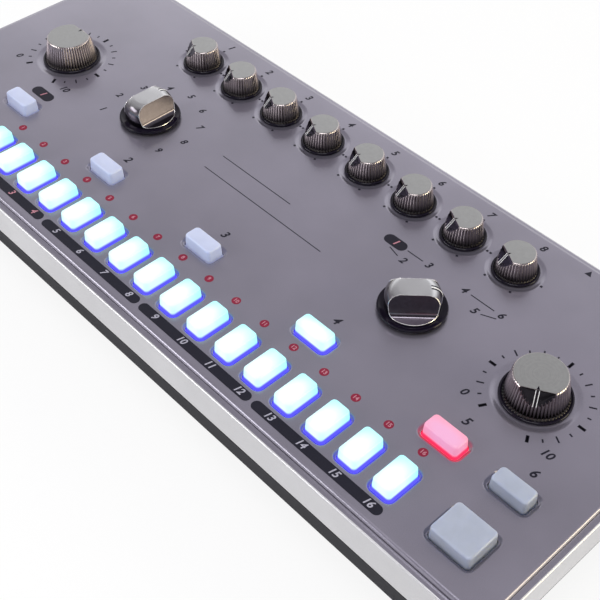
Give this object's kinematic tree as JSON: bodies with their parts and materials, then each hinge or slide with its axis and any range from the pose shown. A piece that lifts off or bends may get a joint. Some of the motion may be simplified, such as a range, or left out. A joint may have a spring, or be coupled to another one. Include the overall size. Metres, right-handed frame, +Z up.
{
  "type": "drum machine",
  "caption": "Desktop step drum machine: raised panel with lit step keys, function buttons, level knobs, dials and bar selectors over a sloped case with sockets at the rear.",
  "frame": {"origin": "middle of the footprint, on the surface that the feet stand on", "axes": "+X to the player's right along the row of step keys, +Y to the rear with the sockets, +Z up"},
  "size_m": [0.304, 0.1244, 0.0448],
  "materials": {
    "panel": "satin metallic grey paint",
    "frame": "satin silver paint",
    "shell": "fine-grained charcoal",
    "plate": "black",
    "feet": "matt",
    "screws": "zinc-plated",
    "boards": "green solder mask",
    "components": "moulded",
    "ribbon": "flat cable",
    "switches": "moulded",
    "lamps": "clear lamp",
    "pots": "pressed metal can",
    "sockets": "moulded",
    "nuts": "nickel plate",
    "usb": "plated shell",
    "rocker_body": "moulded",
    "rocker": "moulded",
    "lit_keys": "translucent, lit from inside in white and blue",
    "plain_keys": "translucent, unlit",
    "lit_button": "translucent, lit from inside in blue",
    "red_button": "translucent, lit from inside in red",
    "level_knobs": "grey top, black flange",
    "dial_knobs": "grey top, black flange",
    "selectors": "grey bar, black flange"
  },
  "bodies": {
    "case": {"control_panel": "panel", "upper_frame": "frame", "lower_shell": "shell", "socket_plate": "plate", "rubber_feet": "feet", "case_screws": "screws", "main_board": "boards", "socket_board": "boards", "board_screws": "screws", "board_components": "components", "ribbon_cable": "ribbon", "key_switches": "switches", "key_lamps": "lamps", "potentiometers": "pots", "rotary_switches": "switches", "audio_jacks": "sockets", "trigger_jacks": "sockets", "jack_nuts": "nuts", "five_pin_sockets": "sockets", "five_pin_cores": "sockets", "usb_socket": "usb", "power_inlet": "sockets", "power_switch_body": "rocker_body"},
    "step_key_01": {"step_key_01": "lit_keys"},
    "step_key_02": {"step_key_02": "lit_keys"},
    "step_key_03": {"step_key_03": "lit_keys"},
    "step_key_04": {"step_key_04": "lit_keys"},
    "step_key_05": {"step_key_05": "lit_keys"},
    "step_key_06": {"step_key_06": "lit_keys"},
    "step_key_07": {"step_key_07": "lit_keys"},
    "step_key_08": {"step_key_08": "lit_keys"},
    "step_key_09": {"step_key_09": "lit_keys"},
    "step_key_10": {"step_key_10": "lit_keys"},
    "step_key_11": {"step_key_11": "lit_keys"},
    "step_key_12": {"step_key_12": "lit_keys"},
    "step_key_13": {"step_key_13": "lit_keys"},
    "step_key_14": {"step_key_14": "lit_keys"},
    "step_key_15": {"step_key_15": "lit_keys"},
    "step_key_16": {"step_key_16": "lit_keys"},
    "function_button_1": {"function_button_1": "plain_keys"},
    "function_button_2": {"function_button_2": "plain_keys"},
    "function_button_3": {"function_button_3": "plain_keys"},
    "function_button_4": {"function_button_4": "lit_button"},
    "function_button_5": {"function_button_5": "red_button"},
    "function_button_6": {"function_button_6": "plain_keys"},
    "start_key": {"start_key": "plain_keys"},
    "tap_key": {"tap_key": "plain_keys"},
    "level_knob_1": {"level_knob_1": "level_knobs"},
    "level_knob_2": {"level_knob_2": "level_knobs"},
    "level_knob_3": {"level_knob_3": "level_knobs"},
    "level_knob_4": {"level_knob_4": "level_knobs"},
    "level_knob_5": {"level_knob_5": "level_knobs"},
    "level_knob_6": {"level_knob_6": "level_knobs"},
    "level_knob_7": {"level_knob_7": "level_knobs"},
    "level_knob_8": {"level_knob_8": "level_knobs"},
    "tempo_knob": {"tempo_knob": "dial_knobs"},
    "volume_knob": {"volume_knob": "dial_knobs"},
    "instrument_selector": {"instrument_selector": "selectors"},
    "mode_selector": {"mode_selector": "selectors"},
    "power_rocker": {"power_rocker": "rocker"}
  },
  "joints": [
    {"name": "step_key_01_press", "type": "slide", "parent": "case", "child": "step_key_01", "axis": [0, 0, -1], "range_m": [0, 0.0015], "stiffness_N_per_m": 450, "springref_m": -0.001},
    {"name": "step_key_02_press", "type": "slide", "parent": "case", "child": "step_key_02", "axis": [0, 0, -1], "range_m": [0, 0.0015], "stiffness_N_per_m": 450, "springref_m": -0.001},
    {"name": "step_key_03_press", "type": "slide", "parent": "case", "child": "step_key_03", "axis": [0, 0, -1], "range_m": [0, 0.0015], "stiffness_N_per_m": 450, "springref_m": -0.001},
    {"name": "step_key_04_press", "type": "slide", "parent": "case", "child": "step_key_04", "axis": [0, 0, -1], "range_m": [0, 0.0015], "stiffness_N_per_m": 450, "springref_m": -0.001},
    {"name": "step_key_05_press", "type": "slide", "parent": "case", "child": "step_key_05", "axis": [0, 0, -1], "range_m": [0, 0.0015], "stiffness_N_per_m": 450, "springref_m": -0.001},
    {"name": "step_key_06_press", "type": "slide", "parent": "case", "child": "step_key_06", "axis": [0, 0, -1], "range_m": [0, 0.0015], "stiffness_N_per_m": 450, "springref_m": -0.001},
    {"name": "step_key_07_press", "type": "slide", "parent": "case", "child": "step_key_07", "axis": [0, 0, -1], "range_m": [0, 0.0015], "stiffness_N_per_m": 450, "springref_m": -0.001},
    {"name": "step_key_08_press", "type": "slide", "parent": "case", "child": "step_key_08", "axis": [0, 0, -1], "range_m": [0, 0.0015], "stiffness_N_per_m": 450, "springref_m": -0.001},
    {"name": "step_key_09_press", "type": "slide", "parent": "case", "child": "step_key_09", "axis": [0, 0, -1], "range_m": [0, 0.0015], "stiffness_N_per_m": 450, "springref_m": -0.001},
    {"name": "step_key_10_press", "type": "slide", "parent": "case", "child": "step_key_10", "axis": [0, 0, -1], "range_m": [0, 0.0015], "stiffness_N_per_m": 450, "springref_m": -0.001},
    {"name": "step_key_11_press", "type": "slide", "parent": "case", "child": "step_key_11", "axis": [0, 0, -1], "range_m": [0, 0.0015], "stiffness_N_per_m": 450, "springref_m": -0.001},
    {"name": "step_key_12_press", "type": "slide", "parent": "case", "child": "step_key_12", "axis": [0, 0, -1], "range_m": [0, 0.0015], "stiffness_N_per_m": 450, "springref_m": -0.001},
    {"name": "step_key_13_press", "type": "slide", "parent": "case", "child": "step_key_13", "axis": [0, 0, -1], "range_m": [0, 0.0015], "stiffness_N_per_m": 450, "springref_m": -0.001},
    {"name": "step_key_14_press", "type": "slide", "parent": "case", "child": "step_key_14", "axis": [0, 0, -1], "range_m": [0, 0.0015], "stiffness_N_per_m": 450, "springref_m": -0.001},
    {"name": "step_key_15_press", "type": "slide", "parent": "case", "child": "step_key_15", "axis": [0, 0, -1], "range_m": [0, 0.0015], "stiffness_N_per_m": 450, "springref_m": -0.001},
    {"name": "step_key_16_press", "type": "slide", "parent": "case", "child": "step_key_16", "axis": [0, 0, -1], "range_m": [0, 0.0015], "stiffness_N_per_m": 450, "springref_m": -0.001},
    {"name": "function_button_1_press", "type": "slide", "parent": "case", "child": "function_button_1", "axis": [0, 0, -1], "range_m": [0, 0.0015], "stiffness_N_per_m": 450, "springref_m": -0.001},
    {"name": "function_button_2_press", "type": "slide", "parent": "case", "child": "function_button_2", "axis": [0, 0, -1], "range_m": [0, 0.0015], "stiffness_N_per_m": 450, "springref_m": -0.001},
    {"name": "function_button_3_press", "type": "slide", "parent": "case", "child": "function_button_3", "axis": [0, 0, -1], "range_m": [0, 0.0015], "stiffness_N_per_m": 450, "springref_m": -0.001},
    {"name": "function_button_4_press", "type": "slide", "parent": "case", "child": "function_button_4", "axis": [0, 0, -1], "range_m": [0, 0.0015], "stiffness_N_per_m": 450, "springref_m": -0.001},
    {"name": "function_button_5_press", "type": "slide", "parent": "case", "child": "function_button_5", "axis": [0, 0, -1], "range_m": [0, 0.0015], "stiffness_N_per_m": 450, "springref_m": -0.001},
    {"name": "function_button_6_press", "type": "slide", "parent": "case", "child": "function_button_6", "axis": [0, 0, -1], "range_m": [0, 0.0015], "stiffness_N_per_m": 450, "springref_m": -0.001},
    {"name": "start_key_press", "type": "slide", "parent": "case", "child": "start_key", "axis": [0, 0, -1], "range_m": [0, 0.0015], "stiffness_N_per_m": 450, "springref_m": -0.001},
    {"name": "tap_key_press", "type": "slide", "parent": "case", "child": "tap_key", "axis": [0, 0, -1], "range_m": [0, 0.0015], "stiffness_N_per_m": 450, "springref_m": -0.001},
    {"name": "level_knob_1_turn", "type": "hinge", "parent": "case", "child": "level_knob_1", "pos_m": [-0.0766, 0.04105, 0.035], "axis": [0, 0, -1], "range_deg": [0, 300]},
    {"name": "level_knob_2_turn", "type": "hinge", "parent": "case", "child": "level_knob_2", "pos_m": [-0.0546, 0.04105, 0.035], "axis": [0, 0, -1], "range_deg": [0, 300]},
    {"name": "level_knob_3_turn", "type": "hinge", "parent": "case", "child": "level_knob_3", "pos_m": [-0.0326, 0.04105, 0.035], "axis": [0, 0, -1], "range_deg": [0, 300]},
    {"name": "level_knob_4_turn", "type": "hinge", "parent": "case", "child": "level_knob_4", "pos_m": [-0.0106, 0.04105, 0.035], "axis": [0, 0, -1], "range_deg": [0, 300]},
    {"name": "level_knob_5_turn", "type": "hinge", "parent": "case", "child": "level_knob_5", "pos_m": [0.0114, 0.04105, 0.035], "axis": [0, 0, -1], "range_deg": [0, 300]},
    {"name": "level_knob_6_turn", "type": "hinge", "parent": "case", "child": "level_knob_6", "pos_m": [0.0334, 0.04105, 0.035], "axis": [0, 0, -1], "range_deg": [0, 300]},
    {"name": "level_knob_7_turn", "type": "hinge", "parent": "case", "child": "level_knob_7", "pos_m": [0.0554, 0.04105, 0.035], "axis": [0, 0, -1], "range_deg": [0, 300]},
    {"name": "level_knob_8_turn", "type": "hinge", "parent": "case", "child": "level_knob_8", "pos_m": [0.0774, 0.04105, 0.035], "axis": [0, 0, -1], "range_deg": [0, 300]},
    {"name": "tempo_knob_turn", "type": "hinge", "parent": "case", "child": "tempo_knob", "pos_m": [-0.1138, 0.00585, 0.035], "axis": [0, 0, -1], "range_deg": [-150, 150]},
    {"name": "volume_knob_turn", "type": "hinge", "parent": "case", "child": "volume_knob", "pos_m": [0.1138, 0.00585, 0.035], "axis": [0, 0, -1], "range_deg": [-300, 0]},
    {"name": "instrument_selector_turn", "type": "hinge", "parent": "case", "child": "instrument_selector", "pos_m": [-0.063, 0.00455, 0.035], "axis": [0, 0, -1], "range_deg": [-120, 120]},
    {"name": "mode_selector_turn", "type": "hinge", "parent": "case", "child": "mode_selector", "pos_m": [0.0666, 0.00455, 0.035], "axis": [0, 0, -1], "range_deg": [-90, 0]},
    {"name": "power_rocker_tilt", "type": "hinge", "parent": "case", "child": "power_rocker", "pos_m": [-0.125, 0.05735, 0.0151], "axis": [0, 0, 1], "range_deg": [-16, 0]}
  ]
}
